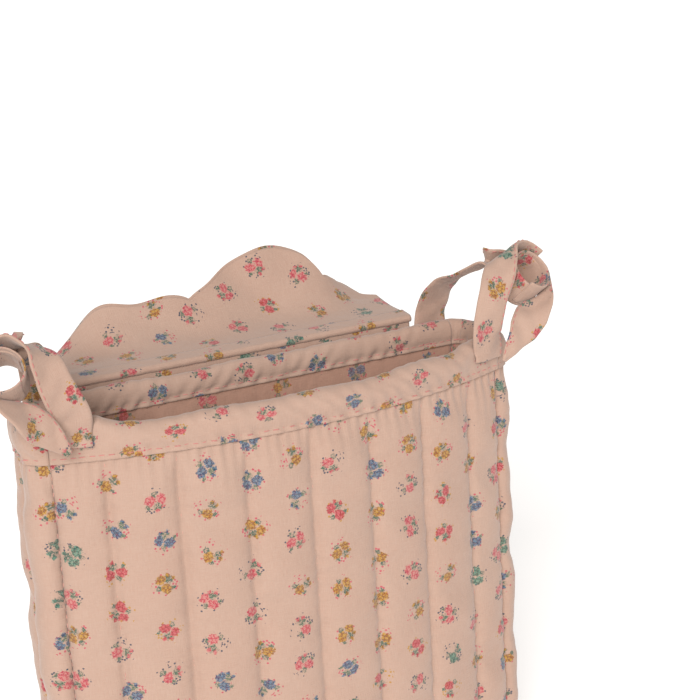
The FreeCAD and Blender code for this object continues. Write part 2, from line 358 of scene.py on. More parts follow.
def printedCotton(name, ground, groundShade, strength=1.0):
    desk = Desk(name)
    cloth = desk.add("ShaderNodeUVMap", {"uv_map": "clothMap"})
    axes = desk.add("ShaderNodeSeparateXYZ", sockets={0: cloth})
    step = printLook["repeat"] * metre
    x = axes / step
    column = x.part("FLOOR")
    y = axes.other(1) / step + (column * 0.5).part("FRACT")
    row = y.part("FLOOR")
    cell = desk.add("ShaderNodeCombineXYZ", sockets={0: column, 1: row, 2: 3.7})
    chance = desk.add("ShaderNodeTexWhiteNoise", {"noise_dimensions": "3D"}, {"Vector": cell})
    dice = desk.add("ShaderNodeSeparateColor", sockets={0: chance.other(1)})
    # place within the sprig, in millimetres
    wander = printLook["wander"]
    px = (x - column - 0.5) * printLook["repeat"] - (dice - 0.5) * wander
    py = (y - row - 0.5) * printLook["repeat"] - (dice.other(1) - 0.5) * wander
    spot = desk.add("ShaderNodeCombineXYZ", sockets={0: px, 1: py})
    spot = desk.add("ShaderNodeVectorRotate", {"rotation_type": "Z_AXIS"},
                    {"Vector": spot, "Angle": dice.other(2) * (2 * math.pi)})
    rough = desk.noise(cloth, 1300.0, 1.0, 1)
    push = desk.vector("MULTIPLY_ADD", rough, (2.1, 2.1, 0.0), (-1.05, -1.05, 0.0))
    drawn = desk.vector("ADD", spot, push)

    def blob(place, size, edge=4.0):
        # 1 inside an ellipse, 0 outside
        near = desk.vector("MULTIPLY_ADD", drawn, (1 / size[0], 1 / size[1], 0.0),
                           (-place[0] / size[0], -place[1] / size[1], 0.0))
        return desk.clamp(desk.vector("LENGTH", near, output=1), -edge, edge)

    def join(*masks):
        total = masks[0]
        for mask in masks[1:]:
            total = total.sum("MAXIMUM", total, mask)
        return total

    cells = desk.add("ShaderNodeTexVoronoi", {"voronoi_dimensions": "2D", "feature": "DISTANCE_TO_EDGE"},
                     {"Vector": drawn, "Scale": 0.66})
    specks = desk.add("ShaderNodeTexVoronoi", {"voronoi_dimensions": "2D", "feature": "F1"},
                      {"Vector": spot, "Scale": 0.78, "Randomness": 0.85})
    leafCells = desk.add("ShaderNodeTexVoronoi", {"voronoi_dimensions": "2D", "feature": "F1"},
                         {"Vector": drawn, "Scale": 0.95, "Randomness": 0.9})
    double = (chance * 7.3).part("FRACT") > 0.35
    roses = join(blob((-1.6, 1.2), (2.3, 2.0), 6.0), blob((2.3, 0.2), (1.7, 2.2), 6.0) * double)
    buds = join(blob((-0.6, -3.1), (0.8, 0.9)), blob((1.7, -2.6), (0.9, 0.7)))
    leafPatch = join(blob((0.3, -1.9), (2.1, 1.7)), blob((0.5, 2.9), (1.1, 1.3)),
                     blob((-3.3, -0.6), (0.9, 1.0)))
    leaves = leafPatch * (leafCells < 0.46)
    petalLines = desk.clamp(cells, -8.0, 1.8)
    around = desk.vector("LENGTH", spot, output=1)
    patchy = desk.noise(cloth, 260.0, 0.0)
    # fewer dots the further out they stand
    dotDice = desk.add("ShaderNodeSeparateColor", sockets={0: specks.other("Color")})
    ringMask = (around > 2.4) * (patchy > 0.44) * (dotDice > desk.clamp(around, 0.27, -0.62))
    dots = ringMask * (specks < 0.31) * (1 - leafPatch)
    ink = desk.clamp(desk.noise(cloth, 2600.0, 1.0), 1.4, 0.12) * strength

    # ground: slow change of tone with faint threads
    flat = desk.noise(cloth, 28.0, 3.0)
    threadsU = desk.noise(desk.vector("MULTIPLY", cloth, (260.0, 3400.0, 1.0)), 1.0, 1.0)
    threadsV = desk.noise(desk.vector("MULTIPLY", cloth, (3400.0, 260.0, 1.0)), 1.0, 1.0)
    threads = threadsU + threadsV
    colour = desk.mix(desk.clamp(flat * 0.45 + threads * 0.5, 1.6, -0.65), ground, groundShade)
    colour = desk.mix(dots * ink, colour, sprigRamp(desk, chance, 4))
    colour = desk.mix(join(leaves, leafPatch * 0.25) * ink, colour, sprigRamp(desk, chance, 3))
    petals = desk.mix(petalLines, sprigRamp(desk, chance, 1), sprigRamp(desk, chance, 2))
    colour = desk.mix(join(roses, buds) * ink, colour, petals)

    soft = desk.noise(cloth, 170.0, 2.0)
    bump = desk.add("ShaderNodeBump", {}, {"Strength": 0.35, "Distance": 0.00035, "Height": threads})
    bump = desk.add("ShaderNodeBump", {},
                    {"Strength": 0.5, "Distance": 0.0007, "Height": soft, "Normal": bump})
    finish = desk.add("ShaderNodeBsdfPrincipled", {}, {
        "Base Color": colour, "Normal": bump,
        "Roughness": desk.clamp(threads, 0.12, printLook["roughness"] - 0.12),
        "Sheen Weight": printLook["sheen"], "Sheen Roughness": 0.5, "Specular IOR Level": 0.25})
    desk.add("ShaderNodeOutputMaterial", {}, {"Surface": finish})
    return desk.material


def plainFibre(name, light, dark, scale, stretch, roughness, bumpDepth):
    # thread and wadding: one colour that varies, with fibres along one direction
    desk = Desk(name)
    cloth = desk.add("ShaderNodeUVMap", {"uv_map": "clothMap"})
    fibres = desk.noise(desk.vector("MULTIPLY", cloth, stretch), scale, 3.0)
    bump = desk.add("ShaderNodeBump", {}, {"Strength": 0.6, "Distance": bumpDepth, "Height": fibres})
    finish = desk.add("ShaderNodeBsdfPrincipled", {}, {
        "Base Color": desk.mix(desk.clamp(fibres, 2.0, -0.5), light, dark), "Normal": bump,
        "Roughness": desk.clamp(fibres, 0.2, roughness - 0.1), "Sheen Weight": 0.2})
    desk.add("ShaderNodeOutputMaterial", {}, {"Surface": finish})
    return desk.material


cotton = printedCotton("printed_cotton", printLook["ground"], printLook["groundShade"])
# lining: the same print on a ground darker than the outer cotton's, darkened as painted shade of the bag's
# inside
shadedLiningCotton = printedCotton("lining_cotton", tint(170, 134, 117), tint(160, 122, 104), 0.85)
wadding = plainFibre("wadding", tint(240, 236, 228), tint(214, 208, 198), 900.0, (1.0, 1.0, 1.0),
                     0.95, 0.0008)
thread = plainFibre("stitch_thread", tint(192, 126, 118), tint(170, 98, 96), 1.0, (900.0, 4200.0, 1.0),
                    0.7, 0.0002)
paleThread = plainFibre("quilting_thread", tint(200, 156, 140), tint(178, 120, 108), 1.0,
                        (900.0, 4200.0, 1.0), 0.75, 0.0002)
print("materials made")


# The bag's outline from above.
frontLow, frontHigh = boxOf("front_panel")
plan = {
    "halfFront": boxOf("side_panel_right")[1][0],    # to a front corner
    "taper": 4.0,                 # back corner further in
    "belly": 22.0,
    "frontY": frontLow[1],
    "backY": boxOf("back_panel")[1][1],
    "corner": 9.0,                # softer than the fold line of the cloth
    "seamIn": 7.5,                # from a corner to the seam beside it
    "height": frontHigh[2],
}


def outlineTable():
    # The plan as arcs and lines, from the front's middle round to the right, the back and the left.
    # Gives length along it, x, y and the direction that faces out (0 = forwards, turning to the right).
    half, belly, corner = plan["halfFront"], plan["belly"], plan["corner"]
    radius = (half ** 2 + belly ** 2) / (2 * belly)
    middle = np.array([0, plan["frontY"] + radius])
    frontCorner = np.array([half, plan["frontY"] + belly])
    backCorner = np.array([half - plan["taper"], plan["backY"]])
    sideLength = np.linalg.norm(backCorner - frontCorner)
    along = (backCorner - frontCorner) / sideLength
    inward = np.array([-along[1], along[0]])
    inner = frontCorner + inward * corner
    start = inner - middle
    root = math.sqrt((start @ along) ** 2 - start @ start + (radius - corner) ** 2)
    reach = -start @ along + root
    if reach > sideLength:
        reach = -start @ along - root
    frontCentre = inner + along * reach
    backCentre = inner + along * (plan["backY"] - corner - inner[1]) / along[1]
    turnFront = math.atan2(*(frontCentre - middle)[[0]], -(frontCentre - middle)[1])
    turnSide = math.atan2(-inward[0], inward[1])
    rows = []

    def arc(centre, size, begin, end, count):
        angle = np.linspace(begin, end, count)
        rows.append(stacked(centre[0] + size * np.sin(angle), centre[1] - size * np.cos(angle), angle))

    arc(middle, radius, 0, turnFront, 200)
    arc(frontCentre, corner, turnFront, turnSide, 40)
    arc(backCentre, corner, turnSide, math.pi, 40)
    rows.append(np.array([[0, plan["backY"], math.pi]]))
    right = np.concatenate(rows)
    right = right[np.concatenate([[True], np.linalg.norm(np.diff(right[:, :2], axis=0), axis=1) > 1e-6])]
    left = right[-2::-1] * [-1, 1, -1] + [0, 0, 2 * math.pi]
    table = np.concatenate([right, left])
    return lengthAlong(table[:, :2]), table


outlineLength, outlineRows = outlineTable()
fullTurn = outlineLength[-1]


def onOutline(s, out):
    # x and y at length s along the outline, moved outwards
    s = np.mod(s, fullTurn)
    x, y, angle = (np.interp(s, outlineLength, outlineRows[:, k]) for k in range(3))
    return x + out * np.sin(angle), y - out * np.cos(angle)


def lengthAtX(x, back=False):
    rows = slice(0, len(outlineLength) // 2 + 1)
    xs, lengths = outlineRows[rows, 0], outlineLength[rows]
    widest = np.argmax(xs)
    if back:
        return np.interp(-x, -xs[widest:], lengths[widest:])
    return np.interp(x, xs[:widest + 1], lengths[:widest + 1])


frontSeam = lengthAtX(plan["halfFront"] - plan["seamIn"])
backSeam = lengthAtX(plan["halfFront"] - plan["taper"] - plan["seamIn"], back=True)
gap = 0.05
regions = {
    "front": (-frontSeam + gap, frontSeam - gap),
    "side_right": (frontSeam + gap, backSeam - gap),
    "back": (backSeam + gap, fullTurn - backSeam - gap),
    "side_left": (fullTurn - backSeam + gap, fullTurn - frontSeam - gap),
}


def nodeName(region, word):
    return "side_" + word + region[4:] if region.startswith("side_") else region + "_" + word


# Quilted walls: outer cloth, wadding and lining.
quilt = {
    "channel": 25.25,         # between seams across the front
    "backChannels": 8,
    "crest": 2.5,             # how far a channel swells between its seams
    "dip": 0.9,               # how deep a seam pulls in
    "creaseWidth": 1.5,
    "pucker": 0.62,           # short folds beside the seams
    "buckle": 1.05,           # soft folds across a channel
    "gather": 0.62,           # folds just under the band
    "cloth": 0.8,
    "batting": 2.8,
    "lining": 0.6,
    "gap": 0.1,
    "bottomRound": 6.0,
    "lowEdge": 0.9,
    "fillBehind": 0.3,        # how far the wadding lies behind the cloth
    "fillInset": (0.3, 0.4),  # and inside its lower and upper edge
    "underBand": 5.0,         # the walls end this far below the fold of the band
    "stitchPitch": 3.1,
    "stitchLength": 1.9,
    "stitchRadius": 0.16,
}
wallThickness = quilt["cloth"] + quilt["batting"] + quilt["lining"] + 2 * quilt["gap"]
bandBottom = boxOf("front_band")[0][2]
frontSeams = np.concatenate([[-frontSeam], np.arange(-3, 4) * quilt["channel"], [frontSeam]])
sideSeams = np.array([(frontSeam + backSeam) / 2, backSeam])
backSeams = np.linspace(backSeam, fullTurn - backSeam, quilt["backChannels"] + 1)[1:]
seams = np.concatenate([frontSeams, sideSeams, backSeams, [fullTurn - (frontSeam + backSeam) / 2,
                                                          fullTurn - frontSeam]])


def quiltSwell(s, z):
    # how far the channels stand out at s: round between seams, with a crease at each, folds and puckers
    lengthS = np.mod(s + frontSeam, fullTurn) - frontSeam
    k = np.clip(np.searchsorted(seams, lengthS, side="right") - 1, 0, len(seams) - 2)
    left, right = seams[k], seams[k + 1]
    width = right - left
    phase = (lengthS - left) / width * 2 - 1
    away = (1 - np.abs(phase)) * width / 2
    near = np.exp(-away / 4.6)
    top = ease((bandBottom + 1 - z) / 13)
    bottom = 0.25 + 0.75 * ease(z / 12)
    # each channel has its own folds, so they stop at the seams
    buckle = ripple(z + 37.0 * k, phase * 4 + 2.1 * k, 11, 27.0, 30.0)
    pucker = np.sin(2 * math.pi * z / 7.6 + 2.5 * np.sin(z / 9.0 + 1.7 * np.round(lengthS / width))) \
        * (0.55 + 0.45 * ripple(z, lengthS * 0, 12, 31.0, 1.0))
    rounded = (1 - np.abs(phase) ** 2.6) * np.minimum(width / 24, 1)
    crease = np.exp(-(away / quilt["creaseWidth"]) ** 2)
    swell = quilt["crest"] * rounded * (1 + 0.22 * buckle) - quilt["dip"] * crease
    swell = swell - 0.35 + quilt["buckle"] * buckle * rounded * 0.6 + quilt["pucker"] * pucker * near
    under = np.exp(-np.maximum(bandBottom - z, 0) / 7.0) * (z < bandBottom + 1)
    gather = quilt["gather"] * ripple(lengthS, z * 0.15, 13, 5.6, 60.0) * under
    return swell * top * bottom + gather * ease((bandBottom + 2 - z) / 3) - (1 - bottom) * 0.4


def bottomIn(z):
    # the lower edge turns under
    r = quilt["bottomRound"]
    low = np.clip(r - z, 0, r)
    return r - np.sqrt(r * r - low * low)


def wallSurface(s, z, layer):
    # layer: 0 outer face of the cloth, to 1 inner face of the lining, as shares of the thickness
    swell = quiltSwell(s, z)
    out = swell * (1 - 1.45 * layer) - wallThickness * layer - bottomIn(z)
    x, y = onOutline(s, out)
    return stacked(x, y, z)


def wallGrid(region, stepS, stepZ, low, high):
    begin, end = regions[region]
    s = np.linspace(begin, end, max(int((end - begin) / stepS), 8))
    z = np.linspace(low, high, int((high - low) / stepZ))
    return np.meshgrid(s, z)


def makeWalls():
    low, top = quilt["lowEdge"], plan["height"] - quilt["underBand"]
    clothIn = quilt["cloth"] / wallThickness
    fillOut = (quilt["cloth"] + quilt["gap"] + quilt["fillBehind"]) / wallThickness
    fillIn = (quilt["cloth"] + quilt["gap"] + quilt["batting"]) / wallThickness
    liningOut = 1 - quilt["lining"] / wallThickness

    def layer(region, word, steps, inset, depths, shift, material):
        # steps along and up, inset from the lower and upper edge, outer and inner depth, shift of the print
        s, z = wallGrid(region, *steps, low + inset[0], top - inset[1])
        faces = [wallSurface(s, z, depth) for depth in depths]
        uvs = stacked(s + shift[0], z + shift[1])
        return shell(nodeName(region, word), *faces, uvs, material), faces[1]

    for number, region in enumerate(regions):
        begin, end = regions[region]
        fillName = nodeName(region, "wadding")
        panel, _ = layer(region, "quilted_cloth", (1.0, 1.35), (0, 0), (0, clothIn), (31 * number, 3.0),
                         cotton)
        standsFor(panel, "bag", nodeName(region, "panel"))
        (end - begin) * metre
        (top - low) * metre
        fill, _ = layer(region, "wadding", (1.25, 2.6), quilt["fillInset"], (fillOut, fillIn), (0, 0),
                        wadding)
        standsFor(fill, "bag", nodeName(region, "batting"))
        inside, face = layer(region, "inner_cloth", (1.6, 2.0), (0, 0), (liningOut, 1.0),
                             (57 * number, 11.0), shadedLiningCotton)
        standsFor(inside, "bag", nodeName(region, "lining"))
        width = areaOf(face) / (top - low)
        width * metre
        (top - low) * metre


def makeQuiltStitches():
    centres, out = [], []
    rng = np.random.default_rng(5)
    for s in seams[:-1]:
        z = np.arange(8.0, bandBottom - 1.5, quilt["stitchPitch"]) + rng.uniform(0, quilt["stitchPitch"])
        z = z[z < bandBottom - 1]
        point = wallSurface(np.full_like(z, s), z, 0)
        x, y = onOutline(s, 1.0)
        x0, y0 = onOutline(s, 0.0)
        centres.append(point)
        out.append(np.tile([float(x - x0), float(y - y0), 0.0], (len(z), 1)))
    centres, out = np.concatenate(centres), np.concatenate(out)
    lean = rng.normal(0, 0.05, (len(centres), 3)) + [0, 0, 1.0]
    row = stitchRow("quilting_stitches", centres + out * 0.1, lean, out, quilt["stitchLength"],
                    quilt["stitchRadius"], paleThread)
    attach(row, "bag")


makeWalls()
makeQuiltStitches()
print("walls made")


# Padded base.
floorPad = {"channel": 25.0, "swell": 0.5}


def basePlan(inset, across, deep):
    # the plan pulled in by inset; across and deep run from 0 to 1, left to right and front to back
    table = outlineRows[:-1]
    x = table[:, 0] - inset * np.sin(table[:, 2])
    y = table[:, 1] + inset * np.cos(table[:, 2])
    middle = len(outlineLength) // 2
    widest = np.argmax(x[:middle])
    frontX = np.concatenate([-x[widest:0:-1], x[:widest + 1]])
    frontY = np.concatenate([y[widest:0:-1], y[:widest + 1]])
    backX = np.concatenate([-x[widest:middle + 1], x[middle:widest - 1:-1]])
    backY = np.concatenate([y[widest:middle + 1], y[middle:widest - 1:-1]])
    half = x[widest] * 0.9995
    wide = half * np.sin((across * 2 - 1) * math.pi / 2)
    near = np.interp(wide, frontX, frontY)
    far = np.interp(wide, backX, backY)
    return wide, near + (far - near) * deep


def makeBase():
    across, deep = np.meshgrid(np.linspace(0, 1, 160), np.linspace(0, 1, 36))
    edge = np.minimum(np.minimum(across, 1 - across) * 9, np.minimum(deep, 1 - deep) * 3.2)
    puff = ease(edge) * floorPad["swell"]

    def layer(inset, z, quilted):
        x, y = basePlan(inset, across, deep)
        swell = puff * (1 - np.abs(np.cos(math.pi * x / floorPad["channel"])) ** 5 * 1.2)
        return stacked(x, y, z + swell * quilted)

    def low(z):
        return float(bottomIn(np.array(z)))

    wall = wallThickness
    layers = (
        ("base_cloth", layer(low(0.9) + 0.1, 0.8, 0.0), layer(low(0.9) + 0.5, 0.0, 0.35),
         "base_panel", "printed_cotton", cotton),
        ("base_wadding", layer(wall + low(3.6) + 0.5, 3.6, 0.9), layer(wall + low(0.9) + 0.5, 1.1, 0.0),
         "base_batting", "batting", wadding),
        ("base_inner_cloth", layer(wall + low(4.4) + 0.4, 4.4, 1.0), layer(wall + low(3.8) + 0.4, 3.8, 1.0),
         "base_lining", "lining_cotton", shadedLiningCotton),
    )
    for name, upper, lower, node, slot, material in layers:
        piece = shell(name, upper, lower, upper[..., :2] + [140.0, 60.0], material)
        standsFor(piece, "bag", node)


makeBase()
print("base made")


# Folded bands round the mouth.
band = {
    "cloth": 0.8,
    "crestWave": 0.55,
    "frontSag": 2.2,          # the front crest lies lower than the back one
    "pucker": 0.5,
    "stitchHeight": 1.7,      # above the band's lower edge
    "innerStitch": 8.3,       # below the crest, inside
    "pitch": 3.3,
    "stitchLength": 2.3,
    "stitchRadius": 0.24,
    "tieX": abs(jointAt("left_loop_swing")[0]),
}
# out from the wall's face and height, from the lower edge outside, over the top, to the lower edge inside
bandProfile = [(1.25, 0.0), (0.95, 1.7), (1.6, 4.0), (2.15, 7.5), (1.85, 11.0), (0.9, 13.4), (-0.7, 14.6),
               (-2.3, 14.9), (-3.9, 14.5), (-5.1, 13.0), (-5.75, 10.4), (-5.6, 8.0), (-5.25, 6.5),
               (-5.5, 4.9)]
bandLine = throughPoints(bandProfile, 400)
bandFar = lengthAlong(bandLine)
bandCrest = max(point[1] for point in bandProfile)


def bandSurface(s, t, depth=0.0):
    # s along the outline and t (0 to 1) over the folded strip; depth goes into the cloth
    share = bandFar / bandFar[-1]
    slope = unit(np.gradient(bandLine, axis=0))
    facing = stacked(slope[:, 1], -slope[:, 0])
    out = np.interp(t, share, bandLine[:, 0])
    up = np.interp(t, share, bandLine[:, 1])
    faceOut = np.interp(t, share, facing[:, 0])
    faceUp = np.interp(t, share, facing[:, 1])
    x, y = onOutline(s, 0.0)
    calm = ease((np.abs(np.abs(x) - band["tieX"]) - 5) / 9)    # flatter under the ties
    body = np.sin(math.pi * np.clip((up - 1.2) / 12, 0, 1)) * (t < 0.6)
    nearStitch = np.exp(-np.abs(up - 1.7) / 2.6) * (t < 0.5) + np.exp(-np.abs(up - 6.5) / 2.0) * (t > 0.6)
    folds = band["pucker"] * (ripple(s + up * 0.5, up, 21, 8.0, 26.0) * (0.35 + nearStitch)
                              + 0.9 * ripple(s + up * 0.9, up, 22, 27.0, 30.0) * body)
    out = out - 1.0 * body * (1 - calm) + (folds * (0.25 + 0.75 * calm) - depth) * faceOut
    crest = band["crestWave"] * (ripple(s, s * 0, 23, 52.0, 1.0) - 0.7) * ease((up - 6) / 8)
    frontShare = ease((12 - y) / 14) * calm
    sag = band["frontSag"] * frontShare * ease((up - 5) / 9)
    up = up + crest - sag + (np.minimum(folds, 0.15) - depth) * faceUp
    x, y = onOutline(s, out)
    return stacked(x, y, bandBottom + up), bandFar[-1]


def makeBands():
    for number, region in enumerate(regions):
        begin, end = regions[region]
        s, t = np.meshgrid(np.linspace(begin, end, int((end - begin) / 1.0)), np.linspace(0, 1, 44))
        outer, length = bandSurface(s, t)
        inner, _ = bandSurface(s, t, band["cloth"])
        uvs = stacked(s + 8 + 11 * number, t * length + 174)
        strip = shell(nodeName(region, "folded_band"), outer, inner, uvs, cotton)
        standsFor(strip, "bag", nodeName(region, "band"))
        (end - begin) * metre
        nodeName(region, "quilted_cloth")
        centres, along, out = [], [], []
        rng = np.random.default_rng(31 + number)
        # the outer row lies on the first half of the profile, the inner row on the second
        for side, height in enumerate((band["stitchHeight"], bandCrest - band["innerStitch"])):
            place = np.arange(begin + 1.5, end - 1.5, band["pitch"])
            place = place + rng.normal(0, 0.12, len(place))
            rows = np.arange(len(bandLine)).reshape(2, -1)[side]
            t0 = bandFar[rows[np.argmin(np.abs(bandLine[rows, 1] - height))]] / bandFar[-1]
            t0 = np.full_like(place, t0) + rng.normal(0, 0.0025, len(place))
            here, _ = bandSurface(place, t0)
            ahead, _ = bandSurface(place + 0.5, t0)
            below, _ = bandSurface(place, t0 + 0.01)
            face = np.cross(below - here, ahead - here)
            centres.append(here)
            along.append(ahead - here)
            out.append(unit(face))
        centres, along, out = (np.concatenate(part) for part in (centres, along, out))
        stitches = stitchRow(nodeName(region, "band_stitches"), centres + out * 0.12, along, out,
                             band["stitchLength"], band["stitchRadius"], thread)
        standsFor(stitches, "bag", nodeName(region, "stitching"))


makeBands()
print("bands made")


# Scalloped flap behind the mouth.
flap = {
    "half": boxOf("flap_face")[1][0],
    "hingeY": jointAt("flap_fold")[1],
    "hingeZ": jointAt("flap_fold")[2],
    "footEnd": boxOf("flap_hem")[1][1],
    "slope": 8.0,             # degrees above level
    "reach": 9.0,             # flat part
    "bendLength": 26.0,
    "bend": 50.0,
    "length": 34.0,           # to the notches
    "leftDroop": 20.0,        # degrees that the far corners hang lower
    "rightDroop": 9.0,
    # left end, right end, rise and where the crest stands between them
    "scallops": ((-73.0, -9.0, 5.0, 0.5), (-9.0, 50.0, 17.0, 0.6), (50.0, 73.0, 3.5, 0.5)),
    "cloth": 0.8,
    "gap": 0.1,
    "backingExtra": 1.2,
    "wave": 1.6,
}


def flapLength(x):
    # length of the pattern at x: to the notches, and a round scallop
    length = np.full_like(x, flap["length"])
    for left, right, rise, crest in flap["scallops"]:
        t = np.clip((x - left) / (right - left), 0, 1) ** (math.log(0.5) / math.log(crest))
        length = length + rise * (4 * t * (1 - t)) ** 0.75
    fromEnd = np.minimum(x + flap["half"], flap["half"] - x)
    return length - 7.0 * (1 - ease(fromEnd / 16)) ** 2


def flapMiddle(extra, start):
    x = np.linspace(-flap["half"], flap["half"], 170)
    share = np.linspace(0, 1, 60)[:, None]
    u = start + (flapLength(x)[None, :] + extra - start) * share
    fromLeft, fromRight = x + flap["half"], flap["half"] - x
    bend = flap["bend"] * (0.25 + 0.75 * ease((fromLeft + 1) / 40))
    bend = bend * (0.45 + 0.55 * ease((fromRight + 1) / 30))
    angle = np.radians(flap["slope"] + bend * ease((u - flap["reach"]) / flap["bendLength"])
                       + 5 * ripple(x[None, :], u, 41, 55.0, 90.0) * ease((u - 10) / 20)
                       - (flap["leftDroop"] * (1 - ease(fromLeft / 34)) + flap["rightDroop"]
                          * (1 - ease(fromRight / 24))) * ease((u - 4) / 8))
    step = np.diff(u, axis=0)
    middleAngle = (angle[1:] + angle[:-1]) / 2

    def summed(wave):
        first = u[:1] * wave(angle[:1])
        return np.concatenate([first, first + np.cumsum(step * wave(middleAngle), axis=0)])

    y, z = summed(np.cos), summed(np.sin)
    # soft hollows
    hollow = flap["wave"] * np.clip(ripple(x[None, :], u, 43, 46.0, 60.0), -1, 1)
    z = z + hollow * ease((u - 8) / 24)
    y = y + 0.9 * ripple(x[None, :], u, 44, 26.0, 60.0) * ease((u - 26) / 14)
    return stacked(x[None, :], flap["hingeY"] + y, flap["hingeZ"] + z), stacked(x[None, :], u)


def makeFlap():
    layers = (("flap_front_cloth", "flap_face", 0.0, 1),
              ("flap_back_cloth", "flap_backing", flap["backingExtra"], -1))
    for name, node, extra, side in layers:
        grid, pattern = flapMiddle(extra, 0.15)
        normal = surfaceNormals(grid)
        normal = normal * np.sign(normal[3, 80, 2])
        near, far = side * flap["gap"] / 2, side * (flap["gap"] / 2 + flap["cloth"])
        uvs = pattern + ([300.0, 5.0] if side > 0 else [411.0, 9.0])
        piece = shell(name, grid + normal * far, grid + normal * near, uvs, cotton)
        standsFor(piece, "flap", node)
        x = pattern[0, :, 0]
        length = flapLength(x) + extra
        area = float(np.sum((length[1:] + length[:-1]) / 2 * np.diff(x)))


def makeFlapFoot():
    # folded strip round the flap's straight edge: a U carried along the hinge
    angle = np.linspace(-math.pi / 2, math.pi / 2, 15)
    reach = flap["footEnd"] - flap["hingeY"] - 0.2
    radius = 1.5
    profile = np.concatenate([
        stacked(np.linspace(reach, 0.2, 12), np.full(12, radius)),
        stacked(-radius * np.cos(angle[::-1]), radius * np.sin(angle[::-1])),
        stacked(np.linspace(0.2, reach, 12), np.full(12, -radius))])
    slope = unit(np.gradient(profile, axis=0))
    facing = stacked(slope[:, 1], -slope[:, 0])
    facing *= np.sign(facing[4, 1])
    x = np.linspace(-flap["half"] - 0.1, flap["half"] + 0.1, 150)
    turn = math.radians(flap["slope"])

    def skin(depth):
        shape = profile - facing * depth
        y = shape[:, 0] * math.cos(turn) - shape[:, 1] * math.sin(turn)
        z = shape[:, 0] * math.sin(turn) + shape[:, 1] * math.cos(turn)
        wobble = 0.06 * ripple(x[None, :], y[:, None], 46, 9.0, 8.0)
        return stacked(x[None, :], (flap["hingeY"] + y)[:, None], (flap["hingeZ"] + z)[:, None] + wobble)

    length = lengthAlong(profile)
    foot = shell("flap_foot", skin(0.0), skin(0.55), stacked(x[None, :] + 520.0, length[:, None]), cotton)
    standsFor(foot, "flap", "flap_hem")


def makeFlapJoin():
    # strip that holds the flap to the back band: up the band's face, then in under the foot
    x = np.linspace(-flap["half"] + 0.3, flap["half"] - 0.3, 150)
    s = fullTurn / 2 - x
    rows = [bandSurface(s, np.full_like(s, t))[0] + [0, 0.55, 0] for t in np.linspace(0.10, 0.27, 8)]
    last = rows[-1]
    goal = stacked(x, flap["hingeY"], flap["hingeZ"] - 0.3)
    rows += [last + (goal - last) * share for share in np.linspace(0.2, 1, 6)]
    grid = np.array(rows)
    length = lengthAlong(grid[:, 70])
    join = sheetOf("flap_join", grid, 0.6, stacked(x[None, :] + 640.0, length[:, None]), cotton, taper=False)
    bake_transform(join)


makeFlap()
makeFlapFoot()
makeFlapJoin()
print("flap made")


# Ties, their turns round the handles, and tails.
tie = {
    "footX": abs(jointAt("left_loop_swing")[0]),
    "sewnX": 84.5,            # where the front tie is sewn along the outline
    "rearY": 27.2,
    "footZ": 179.0,
    "cloth": 1.2,
    "tailCloth": 1.1,
    "wrapWidth": 12.6,
    "wrapCloth": 0.9,
    "turns": 1.8,
    "firstRadius": 7.6,
    "lean": (0.30, -0.70, 0.65),
    "keepOff": 9.4,           # how near the handle's line a strap may come
    "outwards": {"left": 3.0, "right": 0.0},
    "pitch": 3.0,
    "blendLow": 0.1755,       # the straps pass from the bag to the loop between these heights, in metres
    "blendHigh": 0.1925,
    "frontHalves": [7.6, 7.2, 6.8, 6.5, 6.4, 6.3, 6.2, 6, 5.8, 5.6, 5.4],
    "frontCurl": [0.05, 0.2, 0.5, 0.7, 0.5, 0.2, 0, 0],
    "rearHalves": [8.0, 7.4, 7, 6.9, 6.7, 6.4, 6, 5.6, 5.2, 5],
    "rearCurl": [0, 0.1, 0.4, 0.8, 0.6, 0.3, 0.1, 0],
    "tailHalves": [3.2, 3.4, 4.2, 5.8, 6.6, 6.0, 3.9, 1.2],
    "tailCurl": [0.0, 0.3, 0.8, 0.3, -0.5, 0.0],
    "tailWay": [(112.8, -8.8, 202.6), (108.6, -13.9, 198.4), (103.0, -16.7, 193.6), (97.2, -18.2, 188.0),
                (92.2, -18.4, 182.4), (88.3, -17.9, 177.2)],
}


def clearOfHandle(grid, centre, lean):
    # points nearer the handle's line than keepOff move straight out from it
    keep = tie["keepOff"]
    away = grid - centre
    along = away @ lean
    across = away - along[..., None] * lean
    distance = np.linalg.norm(across, axis=-1)
    inside = (along > -9) & (along < 60)
    soft = np.where(inside, keep + np.log1p(np.exp((distance - keep) * 4)) / 4, distance)
    return centre + along[..., None] * lean + across * (soft / np.maximum(distance, 1e-6))[..., None]


def ribbon(points, sides, halves, curl, seed, count=110, across=17):
    # a flat strap: middle line, direction of its width, half widths, and how much it cups
    line = throughPoints(points, count)
    width = carriedAlong(points, sides, count)
    along = unit(np.gradient(line, axis=0))
    width = unit(width - along * np.sum(along * width, axis=1, keepdims=True))
    out = np.cross(width, along)

    def spread(values):
        return np.interp(np.linspace(0, 1, count), np.linspace(0, 1, len(values)), values)[:, None]

    a = np.linspace(-1, 1, across)[None, :]
    far = lengthAlong(line)[:, None]
    reach = spread(halves) * a
    bow = spread(curl) * (1 - a ** 2) + 0.35 * ripple(a * 7, far, seed, 16.0, 13.0)
    grid = line[:, None] + width[:, None] * reach[..., None] + out[:, None] * bow[..., None]
    return grid, stacked(reach, far)


def edgeStitches(name, grid, column, lift, flip):
    # a row along one edge of a strap
    line = grid[:, column]
    far = lengthAlong(line)
    place = np.arange(2.0, far[-1] - 2.0, tie["pitch"])
    normal = surfaceNormals(grid)[:, column] * flip
    out = unit(between(place, far, normal))
    return stitchRow(name, between(place, far, line) + out * lift,
                     between(place, far, np.gradient(line, axis=0)), out, 2.1, 0.2, thread)


